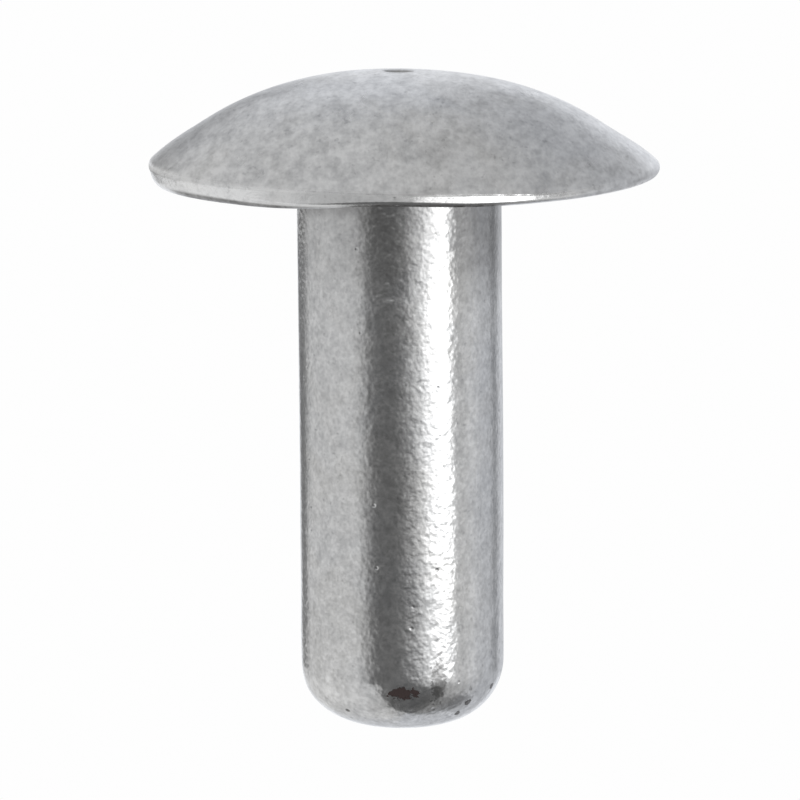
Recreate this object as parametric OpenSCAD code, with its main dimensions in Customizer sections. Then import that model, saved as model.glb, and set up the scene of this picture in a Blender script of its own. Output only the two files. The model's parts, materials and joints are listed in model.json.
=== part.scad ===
// Brazier head rivet: a solid aluminium rivet, cold headed in one piece.
//
// The whole rivet is one turned form about the Z axis, drawn below as half sections in the plane of
// radius and height. It stands on the cut end of its shank, at height 0, with its head at the top.

/* [Shank] */
// Diameter of the shank
shank_d = 6.35; // [5:0.05:8]
// Length of the shank, from its cut end to the face under the head
shank_l = 17.15; // [8:0.05:40]
// Radius of the fillet where the shank runs into the face under the head
neck_fillet_r = 0.3; // [0.1:0.05:0.6]

/* [Shank end] */
// Width of the rounded edge, measured in from the shank's side
end_round_w = 1.7; // [0.5:0.05:2.25]
// Height of the rounded edge, measured up from the cut end
end_round_h = 1.95; // [0.5:0.05:4]

/* [Head] */
// Diameter of the head, over its rim
head_d = 15.85; // [11:0.05:24]
// Height of the head, from the face under it to the top of its crown
head_h = 3.4; // [2.4:0.1:4.5]

/* [Rim] */
// Height of the straight land round the rim
rim_land_h = 0.25; // [0.1:0.05:0.6]
// Radius of the corner between the land and the crown
rim_top_r = 0.2; // [0.1:0.05:0.4]
// Radius of the corner between the land and the face under the head
rim_low_r = 0.15; // [0.05:0.05:0.4]

/* [Centre mark] */
// Diameter of the dimple in the middle of the crown
dimple_d = 1.05; // [0.5:0.05:2]
// Depth of the dimple below its edge
dimple_h = 0.2; // [0.05:0.05:0.25]

/* [Hidden] */
$fn = 180;

shank_r = shank_d / 2;
head_r = head_d / 2;

// How far a cutting shape runs past what it cuts
cut_past = 1;

// Arcs that run tangent into their neighbours have their radius rounded down to a ten-thousandth of a
// millimetre, so that the neighbour always closes the arc's edge and leaves no hairline step
function rounded_down(length) = floor(length * 10000) / 10000;

// The land's lower and upper end, and the centre of the rim's upper corner, which starts at the upper end
land_low_z = shank_l + rim_low_r;
land_top_z = land_low_z + rim_land_h;
rim_top_centre = [head_r - rim_top_r, land_top_z];

// The crown is part of a ball that passes through the top of the head and runs tangent into that corner
top_z = shank_l + head_h;
crown_r = rounded_down(
    (rim_top_centre.x ^ 2 + (top_z - land_top_z) ^ 2 - rim_top_r ^ 2)
    / (2 * (top_z - land_top_z - rim_top_r))
);
crown_centre_z = top_z - crown_r;
crown_edge_r = rim_top_centre.x * crown_r / (crown_r - rim_top_r);

// The rounded edge of the end is one arc. It is tangent to the shank's side when it is taller than wide,
// and tangent to the cut end when it is wider than tall.
end_arc_r = rounded_down(
    (end_round_w ^ 2 + end_round_h ^ 2) / (2 * min(end_round_w, end_round_h))
);
end_arc_centre = end_round_h >= end_round_w
    ? [shank_r - end_arc_r, end_round_h]
    : [shank_r - end_round_w, end_arc_r];

// The dimple is the cap of a small ball that meets the crown in a circle of the dimple's diameter
dimple_r = dimple_d / 2;
dimple_edge_z = crown_centre_z + sqrt(crown_r ^ 2 - dimple_r ^ 2);
dimple_ball_r = (dimple_r ^ 2 + dimple_h ^ 2) / (2 * dimple_h);

// Half section of the shank, less the corner outside its rounded edge. What cuts the corner away runs
// past the shank on both sides.
module shank_section() {
    difference() {
        square([shank_r, shank_l]);
        difference() {
            translate([end_arc_centre.x, -cut_past])
                square([shank_r - end_arc_centre.x + cut_past, end_arc_centre.y + cut_past]);
            translate(end_arc_centre)
                circle(r = end_arc_r);
        }
    }
}

// Half section of the fillet in the corner between the shank and the face under the head
module neck_fillet_section() {
    translate([shank_r, shank_l - neck_fillet_r])
        difference() {
            square(neck_fillet_r);
            translate([neck_fillet_r, 0])
                circle(r = neck_fillet_r);
        }
}

// Half section of the crown and the rim's upper corner, cut off at the land's lower end
module crown_section() {
    intersection() {
        translate([0, land_low_z])
            square([head_r + cut_past, head_h]);
        union() {
            intersection() {
                translate([0, crown_centre_z])
                    circle(r = crown_r);
                square([crown_edge_r, top_z + cut_past]);
            }
            translate(rim_top_centre)
                circle(r = rim_top_r);
        }
    }
}

// Half section of the rim: the straight land, and the lower corner, cut off at the land's upper end
module rim_section() {
    translate([0, shank_l])
        square([head_r - rim_low_r, land_top_z - shank_l]);
    translate([0, land_low_z])
        square([head_r, rim_land_h]);
    intersection() {
        translate([head_r - rim_low_r, land_low_z])
            circle(r = rim_low_r);
        square([head_r + cut_past, land_top_z]);
    }
}

// Half section of the ball that the dimple is cut with
module dimple_section() {
    translate([0, dimple_edge_z - dimple_h + dimple_ball_r])
        circle(r = dimple_ball_r);
}

module rivet() {
    color("silver")
        rotate_extrude()
            difference() {
                union() {
                    shank_section();
                    neck_fillet_section();
                    crown_section();
                    rim_section();
                }
                dimple_section();
            }
}

rivet();
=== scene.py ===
"""Looks of the brazier head rivet: tumbled bare aluminium, on a pale floor in a soft studio.

Lengths in this script are in millimetres and angles in degrees. Meshes turn into metres as they are made.
Angles round the axis start at the front, with +90 at the right, and the sines below are sines of them.
"""

import json

import bpy
import numpy as np
from mathutils import Matrix, Vector


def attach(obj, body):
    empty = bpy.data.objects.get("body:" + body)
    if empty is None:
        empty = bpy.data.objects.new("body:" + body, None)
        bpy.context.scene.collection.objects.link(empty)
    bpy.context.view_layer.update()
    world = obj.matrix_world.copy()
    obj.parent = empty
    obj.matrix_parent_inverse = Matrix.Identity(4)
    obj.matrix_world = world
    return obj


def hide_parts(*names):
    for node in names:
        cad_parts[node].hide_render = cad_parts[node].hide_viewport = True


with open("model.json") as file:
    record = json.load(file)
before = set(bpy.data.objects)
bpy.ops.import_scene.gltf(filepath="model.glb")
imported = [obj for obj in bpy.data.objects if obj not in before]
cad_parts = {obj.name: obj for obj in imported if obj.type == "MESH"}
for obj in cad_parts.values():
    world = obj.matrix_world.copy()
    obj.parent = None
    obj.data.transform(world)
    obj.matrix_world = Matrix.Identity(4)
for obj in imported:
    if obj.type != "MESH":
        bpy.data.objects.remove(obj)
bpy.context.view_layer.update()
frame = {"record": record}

# A millimetre in metres, and a radian in degrees
MM = 0.001
RADIAN = 180 / np.pi

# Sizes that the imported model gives
mounts = {mount["name"]: mount for mount in frame["record"]["mounts"]}
SHANK_R = mounts["shank"]["dims"]["r_mm"]
FACE_Z = mounts["under_head"]["pos_m"][2] / MM

# Sizes of the crown: its height at the middle, its bow, where its shoulder has come down to and by what
# power of the radius, and the radius from which its edge may be raised or dip
HEAD_H = 3.373
CROWN_BOW = 0.026
SHOULDER_R = 7.0
SHOULDER_H = 1.207
SHOULDER_POWER = 3.2
EDGE_FROM_R = 6.3

# Sizes of the rim, which the dies left different round the head: its radius, the radius of the corner under
# the crown, the degrees that the land leans back, or forward if below 0, and the radius of the lower corner
RIM_R = 7.905
RIMS = {
    "front": (7.905, 0.13, 6.5, 0.14),
    "left": (7.866, 0.26, -18, 0.45),
    "right": (7.905, 0.10, 18, 0.24),
}

# The sines between which the front's sizes turn into those of the left and the right
LEFT_SINES = (0.26, 0.87)
RIGHT_SINES = (0.57, 0.97)

# The neck and the cut end of the shank
NECK_R = 0.3
END_W = 1.7
END_H = 1.95

# The dimple in the middle of the crown: its radius and depth, how much of it is flat, and where its darkening
# has become full, both as shares of its radius, and the lip that its punch rolled up
DIMPLE_R = 0.55
DIMPLE_DEPTH = 0.19
DIMPLE_FLAT = 0.2
DIMPLE_DARK_FULL = 0.6
LIP_H = 0.012
LIP_W = 0.09

# How the cold-headed blank departs from a true turned form: the head's shift off the shank's axis, which is
# full from a radius on, the fall of the crown towards the right, where the crown's edge is raised or dips,
# and how the rim's lower edge waves
HEAD_SHIFT = 0.19
HEAD_SHIFT_R = 4
CROWN_TILT = -0.146
LEFT_EDGE_RAISE = 0.108
RIGHT_EDGE_RAISE = 0.174
FRONT_EDGE_DIP = 0.05
FRONT_EDGE_TURN = 30
FRONT_EDGE_WIDTH = 11
EDGE_TILT = 0.158
EDGE_LEFT_LIFT = 0.098
EDGE_FRONT_LIFT = 0.159
EDGE_FRONT_TURN = -6.7
EDGE_FRONT_WIDTH = 17.8
EDGE_DROP = -0.039

# Swellings of the shank: places round it and along it, widths in both, and height. The cut end stays flat:
# they reach their full height at SWELLING_FROM above it
SWELLINGS = [
    (90, 9, 60, 40, 0.012), (90, 8, 40, 4, 0.025), (-70, 1.0, 35, 0.6, 0.07),
    (-90, 5.5, 40, 3, 0.02), (-90, 2.6, 40, 0.9, 0.03),
]
SWELLING_FROM = 0.4

# Waves of the tumbled surface: cell, height and seed of each. They are full from a radius on, so that the
# poles of the mesh stay smooth
WAVES = [(1.3, 0.004, 1), (0.5, 0.002, 2)]
WAVES_R = 1

# The tilts from straight up that tell the rim's stretches apart: where the land sets in, the middle and the
# width of its dull upper corner, and where the painted shade of the lower corner sets in
LAND_TILTS = (55, 72)
CORNER_TILT = 86
CORNER_WIDTH = 13
RIM_SHADE_TILTS = (114, 129)

# The sines between which the land's painted highlight ends at the right, the polish of the land ends at both
# sides, and the dull corner sets in at the left
LAND_HIGHLIGHT_SINES = (0.5, 0.65)
POLISH_SINES = (0.45, 0.65)
CORNER_SINES = (0.6, 0.85)

# The painted shade of the lower corner: its share all round, the rows of the face under the head that it
# reaches, and what is added at the left and at the front, with the sines between which each sets in and ends
RIM_SHADE_ROUND = 0.15
RIM_SHADE_ROWS = 3
RIM_SHADE_PLACES = [(0.55, (-0.95, -0.85), (-0.20, -0.50)), (0.75, (-0.28, -0.16), (0.42, 0.30))]

# The mesh: its steps round the axis, its rows in each stretch of the half section, how far out the dimple's
# fine rows go, and the tries at where the crown and the land cross, with how far past the rim they go
TURN_STEPS = 280
ROWS = {
    "dimple": 22, "crown": 84, "top corner": 10, "land": 10, "low corner": 14,
    "face": 17, "neck": 8, "side": 140, "end": 34, "cut": 12,
}
FINE_R = 1.6 * DIMPLE_R
CROSSING_TRIES = 400
CROSSING_PAST = 0.2

# Values of the table that lattice_noise repeats, along each of its three sides
NOISE_TABLE = 32


# ---------------------------------------------------------------- shader graph


class Wire:
    """A node's output. Arithmetic on it adds Math nodes to the same graph."""

    def __init__(self, graph, socket):
        self.graph = graph
        self.socket = socket

    def __add__(self, other):
        return self.graph.math("ADD", self, other)

    def __radd__(self, other):
        return self.graph.math("ADD", other, self)

    def __sub__(self, other):
        return self.graph.math("SUBTRACT", self, other)

    def __rsub__(self, other):
        return self.graph.math("SUBTRACT", other, self)

    def __mul__(self, other):
        return self.graph.math("MULTIPLY", self, other)

    def __rmul__(self, other):
        return self.graph.math("MULTIPLY", other, self)

    def __truediv__(self, other):
        return self.graph.math("DIVIDE", self, other)

    def __rtruediv__(self, other):
        return self.graph.math("DIVIDE", other, self)

    def __pow__(self, other):
        return self.graph.math("POWER", self, other)

    def __rpow__(self, other):
        return self.graph.math("POWER", other, self)

    def __abs__(self):
        return self.graph.math("ABSOLUTE", self)


class Graph:
    """A node tree that is written as expressions."""

    def __init__(self, tree):
        self.tree = tree
        self.tree.nodes.clear()

    def add(self, kind, settings=None, sockets=None, output=0):
        """Adds a node: first its settings, then the values or links of its sockets. Returns one output."""
        node = self.tree.nodes.new(kind)
        for name, value in (settings or {}).items():
            setattr(node, name, value)
        for key, value in (sockets or {}).items():
            if isinstance(value, Wire):
                self.tree.links.new(value.socket, node.inputs[key])
            else:
                node.inputs[key].default_value = value
        return Wire(self, node.outputs[output] if node.outputs else None)

    def math(self, operation, *terms):
        """A Math node: the operation on up to three terms."""
        return self.add("ShaderNodeMath", {"operation": operation}, dict(enumerate(terms)))

    def ramp(self, value, start, stop):
        """A smooth step of value: 0 at start, 1 at stop, with start above stop for a falling step."""
        sockets = {"Value": value, "From Min": min(start, stop), "From Max": max(start, stop)}
        rise = self.add("ShaderNodeMapRange", {"interpolation_type": "SMOOTHSTEP"}, sockets)
        return rise if start < stop else 1 - rise

    def mix(self, factor, first, second):
        """A colour: first where factor is 0, second where it is 1. Sockets 6 and 7 are the node's colours."""
        settings = {"data_type": "RGBA", "clamp_factor": True}
        return self.add("ShaderNodeMix", settings, {0: factor, 6: first, 7: second}, output=2)

    def axes(self, vector):
        """The three parts of a vector."""
        first = self.add("ShaderNodeSeparateXYZ", None, {0: vector})
        return [Wire(self, socket) for socket in first.socket.node.outputs]

    def angle(self, right, back):
        """The angle round the axis of a place or a direction."""
        return self.math("ARCTAN2", right, 0 - back) * RADIAN


# ---------------------------------------------------------------- studio

# Brightness of the room by elevation: floor, horizon, ceiling
ROOM = [(-90, 0.40), (-60, 0.46), (-20, 0.44), (0, 0.44), (25, 0.46), (50, 0.45), (90, 0.42)]

# Cards and lamps that stand in the room, each before the ones above it in this list: azimuths from and to,
# with 0 at the front and +90 at the right, elevations from and to, softness of the edges in azimuth and
# elevation, and brightness
CARDS = {
    "ceiling_front": (-45, 15, 30, 75, 15, 12, 0.38),
    "ceiling_right": (90, 172, 16, 100, 12, 8, 0.355),
    "left_wall": (-200, -40, -3, 8, 12, 3, 0.50),
    "front_wall": (-44, 12, -4, 30, 8, 3, 0.35),
    "left_low": (-200, -45, -48, -16, 12, 4, 0.575),
    "left_floor": (-190, -45, -95, -45, 12, 6, 0.53),
    "right_wall": (100, 150, -90, 22, 15, 8, 0.40),
    "right_front": (20, 95, 4, 30, 8, 6, 0.32),
    "back_window": (152, 200, -30, 16, 8, 7, 0.82),
    "back_floor": (110, 250, -95, -40, 10, 4, 0.52),
    "back_top": (176, 196, 17, 36, 5, 5, 0.62),
    "back_left_post": (-175, -151, 5, 20, 4, 5, 0.23),
    "back_left_gap": (-159, -136, -14.0, -10.6, 4, 1.0, 0.14),
    "back_left_corner": (-169, -127, -9.0, -7.0, 3, 0.6, 0.10),
    "back_left_step": (-163, -136, -11, -8.6, 3, 1.0, 0.12),
    "right_floor": (45, 112, -95, -44, 8, 4, 0.20),
    "right_foot": (20, 84, -44, -24, 8, 4, 0.34),
    "dark_front": (-41, 6, -95, 0, 14, 1.5, 0.09),
    "left_foot": (-90, -30, -95, -25, 5, 4, 0.50),
    "dark_foot": (-27, 24, -42, -13.4, 6, 1.2, 0.10),
    "dark_floor": (-25, 54, -95, -30, 6, 4, 0.09),
    "glow": (20, 60, -15, 8, 11, 3, 0.62),
    "dark_neck": (-2, 9, -8.6, -3, 5, 0.8, 0.12),
    "softbox_left": (32, 48, -11.2, 9, 6, 3, 1.8),
    "softbox_neck": (26, 48, -8.4, -4, 4, 0.8, 1.4),
    "softbox_top": (6, 56, 1.8, 6, 4, 1.5, 1.5),
    "softbox": (43, 56, -12.7, 9, 4, 2, 2.4),
    "softbox_gap": (65, 78, -12, 3, 3, 4, 0.27),
    "right_low": (72, 96, -22, -5, 6, 2, 0.49),
    "right_side": (98, 128, -22, -5, 4, 2, 0.42),
    "right_post": (124, 136, -18, -2, 5, 4, 0.22),
    "right_edge": (146, 175, -18, -4, 4, 3, 0.55),
}

# The window's light is a little cooler: its azimuth, how far it reaches to both sides, with the softness of
# that, the elevations between which it ends, and its colour
COOL_AT = 145
COOL_HALF = 55
COOL_SOFT = 20
COOL_TOP = (62, 42)
PLAIN_LIGHT = (1, 1, 1, 1)
COOL_LIGHT = (0.965, 0.985, 1.03, 1)

# What the cards' brightness is divided by, so that the metal's own colour brings it back
METAL_SHADE = 0.85

# The white of the surroundings as the camera sees them, and half the floor's width
PALE = (0.99, 0.99, 0.99, 1)
FLOOR_HALF = 900


def turns_off(graph, azimuth, centre):
    """How far an azimuth is from a centre, the short way round."""
    return abs(graph.math("WRAP", azimuth - centre, 180.0, -180.0))


def studio():
    """The room's light as a function of direction: the room's brightness by elevation, then card after card.
    The camera sees a plain pale backdrop in its place."""
    world = bpy.data.worlds.new("studio")
    world.use_nodes = True
    bpy.context.scene.world = world
    graph = Graph(world.node_tree)
    right, back, up = graph.axes(graph.add("ShaderNodeTexCoord", output="Generated"))
    azimuth = graph.angle(right, back)
    elevation = graph.math("ARCSINE", up) * RADIAN
    light = 0
    for (low, dark), (high, bright) in zip(ROOM, ROOM[1:]):
        span = {"Value": elevation, "From Min": low, "From Max": high, "To Max": bright - dark}
        light = light + graph.add("ShaderNodeMapRange", None, span)
    light = light + ROOM[0][1]
    for az_from, az_to, el_from, el_to, az_soft, el_soft, brightness in CARDS.values():
        half = (az_to - az_from) / 2
        off = turns_off(graph, azimuth, (az_from + az_to) / 2)
        across = graph.ramp(off, half + az_soft, half - az_soft)
        over = graph.ramp(elevation, el_from - el_soft, el_from + el_soft)
        under = graph.ramp(elevation, el_to + el_soft, el_to - el_soft)
        light = light + (brightness - light) * across * over * under
    off = turns_off(graph, azimuth, COOL_AT)
    cool = graph.ramp(off, COOL_HALF + COOL_SOFT, COOL_HALF - COOL_SOFT) * graph.ramp(elevation, *COOL_TOP)
    tint = graph.mix(cool, PLAIN_LIGHT, COOL_LIGHT)
    shine = graph.add("ShaderNodeBackground", None, {"Color": tint, "Strength": light / METAL_SHADE})
    backdrop = graph.add("ShaderNodeBackground", None, {"Color": PALE})
    seen = graph.add("ShaderNodeLightPath", output="Is Camera Ray")
    both = graph.add("ShaderNodeMixShader", None, {0: seen, 1: shine, 2: backdrop})
    graph.add("ShaderNodeOutputWorld", None, {"Surface": both})


def pale_floor():
    """A plain floor of the backdrop's white under the rivet, which the metal doesn't mirror."""
    half = FLOOR_HALF * MM
    mesh = bpy.data.meshes.new("floor")
    corners = [(-half, -half, 0), (half, -half, 0), (half, half, 0), (-half, half, 0)]
    mesh.from_pydata(corners, [], [(0, 1, 2, 3)])
    floor = bpy.data.objects.new("floor", mesh)
    bpy.context.scene.collection.objects.link(floor)
    floor.visible_glossy = False
    floor.visible_shadow = False
    material = bpy.data.materials.new("pale floor")
    material.use_nodes = True
    graph = Graph(material.node_tree)
    glow = graph.add("ShaderNodeEmission", None, {"Color": PALE})
    graph.add("ShaderNodeOutputMaterial", None, {"Surface": glow})
    mesh.materials.append(material)


def camera():
    """Looks a little down on the rivet from the front, with a long lens and a slight roll."""
    distance = 132.9
    elevation = np.radians(9.67)
    roll = np.radians(-0.48)
    aim_right = -0.02
    aim_below_face = 6.963
    aim = Vector((aim_right, 0, FACE_Z - aim_below_face)) * MM
    back = Vector((0, -np.cos(elevation), np.sin(elevation)))
    data = bpy.data.cameras.new("camera")
    data.lens = 190.8
    data.sensor_width = 36
    data.clip_start = 0.01
    data.clip_end = 10
    eye = bpy.data.objects.new("camera", data)
    bpy.context.scene.collection.objects.link(eye)
    eye.location = aim + back * (distance * MM)
    turned = back.to_track_quat("Z", "Y").to_matrix() @ Matrix.Rotation(roll, 3, "Z")
    eye.rotation_euler = turned.to_euler()
    bpy.context.scene.camera = eye


# ---------------------------------------------------------------- the rivet's mesh


def smooth(value, start, stop):
    """A smooth step: 0 at start, 1 at stop, 3t^2 - 2t^3 between them."""
    share = np.clip((value - start) / (stop - start), 0, 1)
    return share * share * (3 - 2 * share)


def bump_at(value, centre, width):
    """A bell of height 1: exp(-((value - centre) / width)^2)."""
    return np.exp(-(((value - centre) / width) ** 2))


def shares_of(count):
    """A column of even shares from 0 to 1, without its last one."""
    return np.linspace(0, 1, count, endpoint=False)[:, None]


def arc(centre, radius, start, stop, count):
    """Points of a half-section arc. Angles are measured from straight up, towards the outside. Each of the
    centre's two parts, the radius and the angles may be an array over the angles round the axis."""
    turn = np.radians(start + shares_of(count) * (stop - start))
    return np.stack((centre[0] + radius * np.sin(turn), centre[1] + radius * np.cos(turn)), axis=-1)


def line(start, stop, count):
    """Points of a straight stretch between two points, without its last one. Their parts may be arrays."""
    return np.stack([low + shares_of(count) * (high - low) for low, high in zip(start, stop)], axis=-1)


def tilt_of(radius, height):
    """How far a half section's surface is turned from straight up, in radians: the arc tangent of its fall
    over its run along the rows."""
    return np.arctan2(-np.gradient(height, axis=0), np.gradient(radius, axis=0))


def row_at(grid, row):
    """The grid's value at a broken row number in each column."""
    below = row.astype(int)
    column = np.arange(len(row))
    return grid[below, column] + (row - below) * (grid[below + 1, column] - grid[below, column])


def lattice_noise(points, cell, seed):
    """Smooth noise in -1..1: random values on a cubic lattice of the given cell, blended between corners."""
    table = np.random.default_rng(seed).uniform(-1, 1, (NOISE_TABLE, NOISE_TABLE, NOISE_TABLE))
    place = points / cell
    base = np.floor(place).astype(int)
    share = place - base
    share = share * share * (3 - 2 * share)
    total = np.zeros(points.shape[:-1])
    for corner in np.ndindex(2, 2, 2):
        weight = np.prod(np.where(corner, share, 1 - share), axis=-1)
        index = (base + corner) % NOISE_TABLE
        total += weight * table[index[..., 0], index[..., 1], index[..., 2]]
    return total


def crown_height(radius, turn, left, right):
    """Height of the crown over the face under the head: HEAD_H, less CROWN_BOW times the radius squared, less
    a power of the radius that brings the crown down to SHOULDER_H at SHOULDER_R. It falls towards the right,
    and its edge is raised at the left and the right, and dips a little right of the front."""
    fall = HEAD_H - CROWN_BOW * SHOULDER_R**2 - SHOULDER_H
    height = HEAD_H - CROWN_BOW * radius**2 - fall * (radius / SHOULDER_R) ** SHOULDER_POWER
    dip = FRONT_EDGE_DIP * bump_at(np.degrees(turn), FRONT_EDGE_TURN, FRONT_EDGE_WIDTH)
    raised = (LEFT_EDGE_RAISE * left + RIGHT_EDGE_RAISE * right - dip) * smooth(radius, EDGE_FROM_R, RIM_R)
    return height + CROWN_TILT * np.sin(turn) * radius / RIM_R + raised


def head_section(turn):
    """Half sections of the head round the axis, as (radius, height) points from the top of the axis to the
    foot of the rim. The rim's sizes blend from the front ones to the left and the right ones. Its upper
    corner has its centre where the crown and the land, each moved in by the corner's radius, cross."""
    side = np.sin(turn)
    left, right = smooth(-side, *LEFT_SINES), smooth(side, *RIGHT_SINES)
    at_front, at_left, at_right = np.array(list(RIMS.values()))[..., None]
    rim_r, top_r, lean, low_r = at_front + (at_left - at_front) * left + (at_right - at_front) * right
    foot = EDGE_TILT * side + EDGE_LEFT_LIFT * left + EDGE_DROP
    foot += EDGE_FRONT_LIFT * bump_at(np.degrees(turn), EDGE_FRONT_TURN, EDGE_FRONT_WIDTH)
    low_centre = (rim_r - low_r, foot + low_r)

    # The crown moved in by the upper corner's radius, and how far outside the land moved in likewise it is
    radius = np.linspace(0, RIM_R + CROSSING_PAST, CROSSING_TRIES)[:, None] + 0 * side
    height = crown_height(radius, turn, left, right)
    tilt = tilt_of(radius, height)
    inner_radius = radius - top_r * np.sin(tilt)
    inner_height = height - top_r * np.cos(tilt)
    out, up = np.cos(np.radians(lean)), np.sin(np.radians(lean))
    outside = (inner_radius - low_centre[0]) * out + (inner_height - low_centre[1]) * up - (low_r - top_r)

    # The row where they cross, between the last one inside and the first one outside
    crossed = np.argmax(outside > 0, axis=0)
    before, after = (np.take_along_axis(outside, crossed[None] + step, axis=0)[0] for step in (-1, 0))
    edge = crossed - 1 + before / (before - after)
    top_centre = (row_at(inner_radius, edge), row_at(inner_height, edge))
    crown_edge = row_at(radius, edge)

    dimple_rows = np.linspace(0, FINE_R, ROWS["dimple"], endpoint=False)[:, None] + 0 * side
    crown_rows = FINE_R + shares_of(ROWS["crown"]) * (crown_edge - FINE_R)
    rows = np.concatenate((dimple_rows, crown_rows))
    crown = np.stack((rows, crown_height(rows, turn, left, right)), axis=-1)
    corner = arc(top_centre, top_r, np.degrees(row_at(tilt, edge)), 90 - lean, ROWS["top corner"])
    low_corner = arc(low_centre, low_r, 90 - lean, 180, ROWS["low corner"])
    land_start = (top_centre[0] + top_r * out, top_centre[1] + top_r * up)
    land = line(land_start, (low_corner[0, :, 0], low_corner[0, :, 1]), ROWS["land"])
    return np.concatenate((crown, corner, land, low_corner)) + (0, FACE_Z)


def shank_section(side):
    """Half sections of the shank as (radius, height) points: the neck's fillet, the side, the rounded edge of
    the end, which is one arc tangent to the side, and the cut end up to the axis."""
    end_r = (END_W**2 + END_H**2) / (2 * END_W)
    end_turn = 90 + np.degrees(np.arcsin(END_H / end_r))
    parts = [
        arc((SHANK_R + NECK_R, FACE_Z - NECK_R), -NECK_R, 180, 90, ROWS["neck"]),
        line((SHANK_R, FACE_Z - NECK_R), (SHANK_R, END_H), ROWS["side"]),
        arc((SHANK_R - end_r, END_H), end_r, 90, end_turn, ROWS["end"]),
        line((SHANK_R - END_W, 0), (0, 0), ROWS["cut"]),
        np.zeros((1, 1, 2)),
    ]
    return np.concatenate(parts) + np.zeros((len(side), 2))


def rivet_mesh():
    """The half sections turned about Z: (r sin a, -r cos a, h) over a full turn, with angle 0 at the front.
    Each point then moves along its normal, along Z and sideways by the named departures from the true form.
    Returns the grid of points and, for each, the shares that its material needs."""
    turn = np.linspace(-np.pi, np.pi, TURN_STEPS, endpoint=False)
    side = np.sin(turn)
    head_rows = head_section(turn)
    foot = head_rows[-1]
    neck = (SHANK_R + NECK_R + 0 * side, FACE_Z + 0 * side)
    face_rows = line((foot[:, 0], foot[:, 1]), neck, ROWS["face"])[1:]
    section = np.concatenate((head_rows, face_rows, shank_section(side)))
    order = np.arange(len(section))[:, None]
    head = 1 - smooth(order, len(head_rows), len(head_rows) + len(face_rows)) + 0 * turn
    radius, height = section[..., 0], section[..., 1]
    tilt = tilt_of(radius, height)
    place = np.stack((radius * side, -radius * np.cos(turn), height), axis=-1)
    normal = np.stack((np.sin(tilt) * side, -np.sin(tilt) * np.cos(turn), np.cos(tilt)), axis=-1)

    # Along the normal: the waves of the tumbled surface, and the shank's swellings
    waves = sum(size * lattice_noise(place, cell, seed) for cell, size, seed in WAVES)
    on_shank = smooth(height, 0, SWELLING_FROM) * (height < FACE_Z - NECK_R)
    for at_turn, at_height, turn_width, height_width, size in SWELLINGS:
        bell = bump_at(np.degrees(turn), at_turn, turn_width) * bump_at(height, at_height, height_width)
        waves += (1 - head) * size * bell * on_shank
    place += normal * (waves * smooth(radius, 0, WAVES_R))[..., None]

    # Along Z: the punched dimple and its lip
    upward = head * (normal[..., 2] > 0)
    dish = LIP_H * bump_at(radius, DIMPLE_R + LIP_W, LIP_W)
    dish -= DIMPLE_DEPTH * smooth(radius, DIMPLE_R, DIMPLE_FLAT * DIMPLE_R)
    place[..., 2] += upward * dish

    # Sideways: the head sits a little off the shank's axis, but the dimple in it doesn't
    place[..., 0] += head * HEAD_SHIFT * smooth(radius, 0, HEAD_SHIFT_R)

    # The rim's painted shade, from the lower corner to just under it
    turned = np.degrees(tilt)
    rim_line = RIM_SHADE_ROUND
    for share, start, stop in RIM_SHADE_PLACES:
        rim_line = rim_line + share * (smooth(side, *start) * smooth(side, *stop))
    rim_line = smooth(order, len(head_rows) + RIM_SHADE_ROWS, len(head_rows)) * rim_line

    on_land = head * smooth(turned, *LAND_TILTS)
    shares = {
        "head": head,
        # The land at the left and the front, which carries a painted highlight in the colour
        "land": on_land * (1 - smooth(side, *LAND_HIGHLIGHT_SINES)),
        "polish": on_land * (1 - smooth(np.abs(side), *POLISH_SINES)),
        "rim_line": smooth(turned, *RIM_SHADE_TILTS) * rim_line,
        "corner": head * bump_at(turned, CORNER_TILT, CORNER_WIDTH) * smooth(-side, *CORNER_SINES),
        "dimple": upward * smooth(radius, DIMPLE_R, DIMPLE_DARK_FULL * DIMPLE_R),
    }
    return place, shares


def closed_surface(name, place, shares):
    """A mesh of a grid of points that closes round its second axis and ends in a pole at both ends. Each
    share becomes an attribute of the points."""
    rows, steps = place.shape[:2]
    ring = np.arange(1, 1 + (rows - 2) * steps).reshape(rows - 2, steps)
    after = np.roll(ring, -1, axis=1)

    def flat(grid):
        """The grid's points in one row, with one point for each pole."""
        return np.concatenate((grid[:1, 0], grid[1:-1].reshape(-1, *grid.shape[2:]), grid[-1:, 0]))

    vertices = flat(place)
    quads = np.stack((ring[:-1], ring[1:], after[1:], after[:-1]), axis=-1).reshape(-1, 4)
    last = len(vertices) - 1
    top = np.column_stack((np.zeros(steps, int), ring[0], after[0]))
    bottom = np.column_stack((np.full(steps, last), after[-1], ring[-1]))
    mesh = bpy.data.meshes.new(name)
    mesh.from_pydata((vertices * MM).tolist(), [], quads.tolist() + top.tolist() + bottom.tolist())
    mesh.polygons.foreach_set("use_smooth", np.ones(len(mesh.polygons), bool))
    for share, grid in shares.items():
        mesh.attributes.new(share, "FLOAT", "POINT").data.foreach_set("value", flat(grid).astype(np.float32))
    mesh.update()
    piece = bpy.data.objects.new(name, mesh)
    bpy.context.scene.collection.objects.link(piece)
    return piece


# ---------------------------------------------------------------- aluminium

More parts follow.
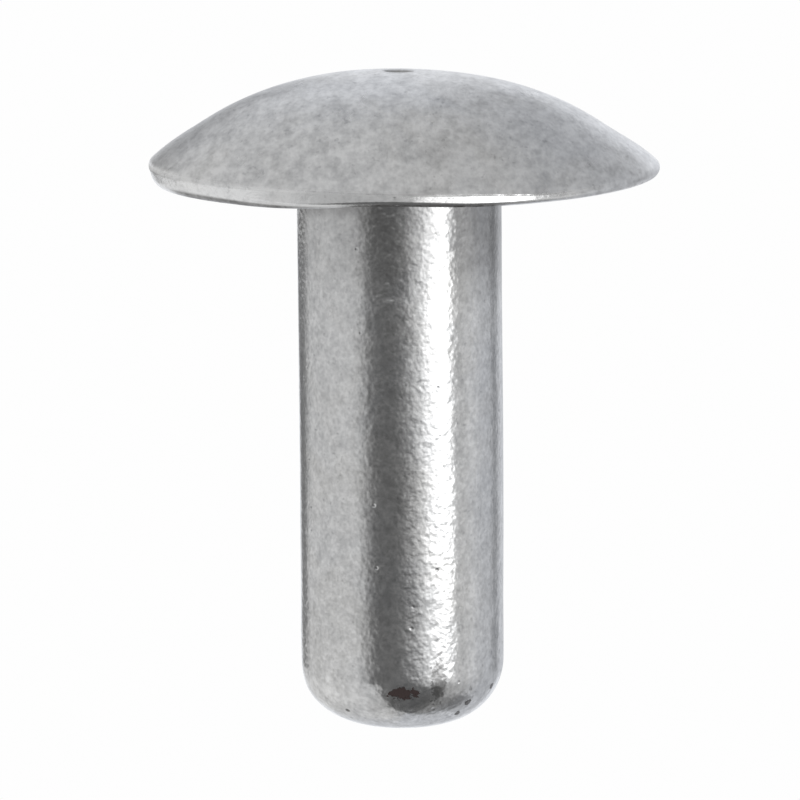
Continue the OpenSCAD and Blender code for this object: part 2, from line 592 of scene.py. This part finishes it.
# The clouds that the finish is made of: the size of their features, detail, roughness and warp
CLOUDS = {
    "peel": (0.19, 0.5, 0.5, 0.0),
    "fine peel": (0.11, 0.5, 0.5, 0.0),
    "slow peel": (0.5, 1.0, 0.5, 0.0),
    "grain": (0.16, 2.0, 0.7, 0.0),
    "slow grain": (0.7, 2.0, 0.5, 0.0),
    "mottle": (0.5, 2.6, 0.9, 0.0),
    "flecks": (0.14, 1.0, 0.5, 0.0),
    "drift": (1.6, 4.0, 0.75, 0.0),
    "specks": (0.15, 1.0, 0.5, 0.0),
    "places of specks": (0.9, 2.0, 0.5, 0.0),
    "places of blue": (3.2, 2.0, 0.5, 1.0),
    "edges of marks": (0.18, 2.0, 0.7, 0.0),
    "edge of the smear": (0.6, 3.0, 0.5, 0.0),
    "ragged dirt": (0.22, 2.0, 0.7, 0.0),
}

# Between which values of their clouds the specks, the places that have specks, and the blue set in
SPECKS = (0.38, 0.28)
SPECK_PLACES = (0.44, 0.56)
BLUE_PLACES = (0.4, 0.6)

# Heights of the relief: like orange peel on the shank, a satin grain on the head, the pits and the nicks, and
# the share of it that the polish of the rim's land has taken away
PEEL = {"peel": 0.009, "fine peel": 0.005, "slow peel": 0.007}
GRAIN = {"grain": 0.012, "slow grain": 0.012}
PIT_DEPTH = 0.009
NICK_DEPTH = 0.015
POLISHED_AWAY = 0.7

# Round pits: how far apart, how large, and the share of that size that is at the full depth
PIT_SPACING = 0.8
PIT_SIZE = 0.08
PIT_FLOOR = 0.3

# The share of its depth from front to back that the head loses before its patterns are worked out, so that
# they come out drawn out that way
DRAWN_OUT = 0.5

# The metal's dark and light colour where it is neutral and where it is a little blue, how blue it gets, and
# the colours of grime and painted shade, of the stain and of the painted shade in the rim's lower corner
NEUTRAL_METAL = ((0.55, 0.55, 0.545, 1), (1.0, 1.0, 0.995, 1))
BLUE_METAL = ((0.54, 0.55, 0.575, 1), (0.98, 0.99, 1.0, 1))
BLUE_SHARE = 0.5
GRIME_AND_SHADE_COLOUR = (0.14, 0.135, 0.13, 1)
STAIN_COLOUR = (0.036, 0.022, 0.020, 1)
RIM_SHADE_COLOUR = (0.05, 0.048, 0.046, 1)
RIM_SHADE_ROUGHNESS = 0.9

# Where the metal lies between its dark and its light colour, and what each pattern and place adds to that
TONE = 0.67
MOTTLE_TONE = 1.7
MOTTLE_MORE_ON_CROWN = 0.4
FLECK_TONE = 0.8
FLECK_LESS_ON_HEAD = 0.5
DRIFT_ON_CROWN = 0.9
LAND_PAINTED_HIGHLIGHT = 0.28
PIT_DARKER = 0.4
SPECK_DARKER = 0.3
END_DARKER = 0.12
END_HEIGHTS = (1.9, 0.9)

# Roughness of the metal, and what each place adds to it
ROUGHNESS = 0.2
CROWN_ROUGHER = 0.09
DRIFT_ROUGHER = 0.1
POLISH_SMOOTHER = 0.04
STAIN_ROUGHER = 0.4
CORNER_ROUGHER = 0.45

# Marks on the shank: degrees round from the front, height, half width and half height, and how far the
# outline wanders, with the shares of grime in the smudges and the nicks, and of darkening in the dimple
STAIN = (-0.7, 1.5, 0.4, 0.19, 3.0)
NICKS = [
    (39.6, 0.6, 0.12, 0.08, 1.2), (44.0, 0.95, 0.15, 0.09, 1.2), (64.6, 1.28, 0.12, 0.09, 1.2),
    (-38, 0.75, 0.09, 0.05, 1.2),
]
SMUDGES = [(20.4, 1.85, 0.22, 0.62, 3.6), (37.5, 0.98, 0.46, 0.4, 3.6)]
SMUDGE_GRIME = [0.52, 0.26]
NICK_GRIME = 0.85
DIMPLE_DARKENING = 0.6

# The power by which the stain hides the metal's colour more strongly, and its gloss less, towards its edge
STAIN_POWER = 3

# Round each mark, the distances from its middle, in its half sizes, between which it sets in
MARK_EDGE = (1.15, 0.85)

# The painted shade under the head: how its border leans to the back and to the right, how far it wanders, and
# its layers: the depths under the face between which each sets in, its share of the dark colour and, where it
# doesn't go all round, the places from left to right between which it sets in
UNDER_HEAD_SHADE_LEANS = (0.17, 0.1)
UNDER_HEAD_SHADE_WANDER = 0.6
UNDER_HEAD_SHADES = [
    (3.7, 2.3, 0.13, None),
    (3.7, 2.3, 0.12, (-2.3, -1.5)),
    (1.9, 0.9, 0.10, None),
    (1.25, 0.85, 0.25, (-0.7, -1.8)),
    (2.6, 2.1, 0.17, (1.8, 2.3)),
]

# How the painted shade in the rim's lower corner is broken up: its least share, and what the clouds add to
# that
RIM_SHADE_BREAKUP = (0.6, 0.8)


class Finish:
    """The places and patterns that the rivet's material is put together from."""

    def __init__(self, tree):
        self.graph = Graph(tree)
        metres = self.graph.add("ShaderNodeTexCoord", output="Object")
        at = self.graph.add("ShaderNodeVectorMath", {"operation": "SCALE"}, {0: metres, "Scale": 1 / MM})
        self.right, self.back, self.height = self.graph.axes(at)
        self.turn = self.graph.angle(self.right, self.back)
        self.head = self.share("head")
        self.land = self.share("land")
        self.polish = self.share("polish")
        self.crown = self.head - self.land

        # On the head the patterns are drawn out from front to back, along the wire's own grain
        drawn = {0: self.right, 1: self.back * (1 - self.head * DRAWN_OUT), 2: self.height}
        self.place = self.graph.add("ShaderNodeCombineXYZ", None, drawn)

        self.drift = self.swing("drift")
        self.pits = self.round_pits()
        self.nicks = sum(self.spot(*nick) for nick in NICKS)
        self.stain = self.spot(*STAIN)

    def share(self, name):
        """An attribute of the mesh's points."""
        return self.graph.add("ShaderNodeAttribute", {"attribute_name": name}, output="Fac")

    def clouds(self, name):
        """Noise around 0.5, as the named row of CLOUDS gives it."""
        cell, detail, rough, warp = CLOUDS[name]
        pattern = {"Scale": 1 / cell, "Detail": detail, "Roughness": rough, "Distortion": warp}
        return self.graph.add("ShaderNodeTexNoise", None, {"Vector": self.place, **pattern})

    def swing(self, name):
        """The named clouds, around 0."""
        return self.clouds(name) - 0.5

    def layers(self, heights):
        """The sum of several clouds, each times its height."""
        return sum(self.clouds(name) * height for name, height in heights.items())

    def round_pits(self):
        """1 in round pits, one to each cell of their spacing, and 0 between them."""
        cells = {"Vector": self.place, "Scale": 1 / PIT_SPACING}
        away = self.graph.add("ShaderNodeTexVoronoi", None, cells)
        return self.graph.ramp(away, PIT_SIZE / PIT_SPACING, PIT_FLOOR * PIT_SIZE / PIT_SPACING)

    def spot(self, turn, height, half_width, half_height, wander):
        """1 in an oval mark on the shank, whose outline wanders with the fine clouds, and 0 round it."""
        across = (self.turn - turn) * (np.radians(1) * SHANK_R / half_width)
        along = (self.height - height) / half_height
        away = self.graph.math("SQRT", across * across + along * along)
        away = away + wander * self.swing("edges of marks")
        return self.graph.ramp(away, *MARK_EDGE)


def relief(finish):
    """Height of the surface: orange peel on the shank and satin grain on the head, less the pits and the
    nicks, with most of it gone from the polished land."""
    peel = finish.layers(PEEL)
    grain = finish.layers(GRAIN)
    height = peel + (grain - peel) * finish.head - PIT_DEPTH * finish.pits - NICK_DEPTH * finish.nicks
    return height * (1 - POLISHED_AWAY * finish.polish)


def bare_metal(finish):
    """Colour of the clean metal: mottled and flecked, with slow clouds on the crown, dark pits and specks, a
    painted highlight on the land at the left and the front, a darker end, and a little blue in places."""
    graph, head = finish.graph, finish.head
    mottle = finish.swing("mottle")
    flecks = finish.swing("flecks")
    specks = graph.ramp(finish.clouds("specks"), *SPECKS)
    specks = specks * graph.ramp(finish.clouds("places of specks"), *SPECK_PLACES)
    tone = TONE + mottle * (MOTTLE_TONE + finish.crown * MOTTLE_MORE_ON_CROWN)
    tone = tone + flecks * (FLECK_TONE - FLECK_LESS_ON_HEAD * head)
    # The land at the left and the front is made lighter: a painted highlight
    tone = tone + finish.crown * finish.drift * DRIFT_ON_CROWN + finish.land * LAND_PAINTED_HIGHLIGHT
    tone = tone - PIT_DARKER * finish.pits - SPECK_DARKER * specks
    tone = tone - END_DARKER * (1 - head) * graph.ramp(finish.height, *END_HEIGHTS)
    blue = graph.ramp(finish.clouds("places of blue"), *BLUE_PLACES) * BLUE_SHARE
    return graph.mix(blue, graph.mix(tone, *NEUTRAL_METAL), graph.mix(tone, *BLUE_METAL))


def painted_shade_under_head(finish):
    """Share of painted shade on the shank under the head: the sum of its layers."""
    to_back, to_right = UNDER_HEAD_SHADE_LEANS
    border = finish.height + finish.back * to_back + finish.right * to_right
    border = border + finish.clouds("edge of the smear") * UNDER_HEAD_SHADE_WANDER
    total = 0
    for low, high, share, sides in UNDER_HEAD_SHADES:
        layer = finish.graph.ramp(border, FACE_Z - low, FACE_Z - high) * share
        if sides:
            layer = layer * finish.graph.ramp(finish.right, *sides)
        total = total + layer
    return total * (1 - finish.head)


def aluminium():
    """Bare aluminium: satin and clouded on the head, smooth on the rim's land, brighter with a fine orange
    peel on the shank, with pits, nicks, painted shade in the rim's lower corner and under the head, darkening
    in the dimple, and a stain at the end."""
    material = bpy.data.materials.new("tumbled aluminium")
    material.use_nodes = True
    finish = Finish(material.node_tree)
    graph, stain = finish.graph, finish.stain

    smudges = sum(finish.spot(*smudge) * share for smudge, share in zip(SMUDGES, SMUDGE_GRIME))
    darker_marks = finish.share("dimple") * DIMPLE_DARKENING + finish.nicks * NICK_GRIME + smudges
    # Grime of the nicks and smudges, darkening of the dimple and the painted shade under the head, all mixed
    # towards one dark colour
    colour = graph.mix(darker_marks + painted_shade_under_head(finish), bare_metal(finish), GRIME_AND_SHADE_COLOUR)
    colour = graph.mix(1 - (1 - stain) ** STAIN_POWER, colour, STAIN_COLOUR)

    roughness = ROUGHNESS + finish.crown * (CROWN_ROUGHER + DRIFT_ROUGHER * finish.drift)
    roughness = roughness - POLISH_SMOOTHER * finish.polish + STAIN_ROUGHER * stain
    roughness = roughness + CORNER_ROUGHER * finish.share("corner")

    normal = graph.add("ShaderNodeBump", None, {"Strength": 1.0, "Distance": MM, "Height": relief(finish)})
    metallic = 1 - stain**STAIN_POWER
    clean = {"Base Color": colour, "Metallic": metallic, "Roughness": roughness, "Normal": normal}
    metal = graph.add("ShaderNodeBsdfPrincipled", None, clean)

    # A dark, dull shader that paints shade into the rim's lower corner
    dull = {"Base Color": RIM_SHADE_COLOUR, "Roughness": RIM_SHADE_ROUGHNESS, "Specular IOR Level": 0.0}
    rim_shade_bsdf = graph.add("ShaderNodeBsdfPrincipled", None, dull)
    least, added = RIM_SHADE_BREAKUP
    ragged = finish.share("rim_line") * (least + added * finish.clouds("ragged dirt"))
    surface = graph.add("ShaderNodeMixShader", None, {0: ragged, 1: metal, 2: rim_shade_bsdf})
    graph.add("ShaderNodeOutputMaterial", None, {"Surface": surface})
    return material


# ---------------------------------------------------------------- scene

camera()
studio()
pale_floor()

rivet = closed_surface("rivet_body", *rivet_mesh())
rivet.data.materials.append(aluminium())
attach(rivet, "root")
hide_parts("rivet")

bpy.context.scene.view_settings.view_transform = "Standard"
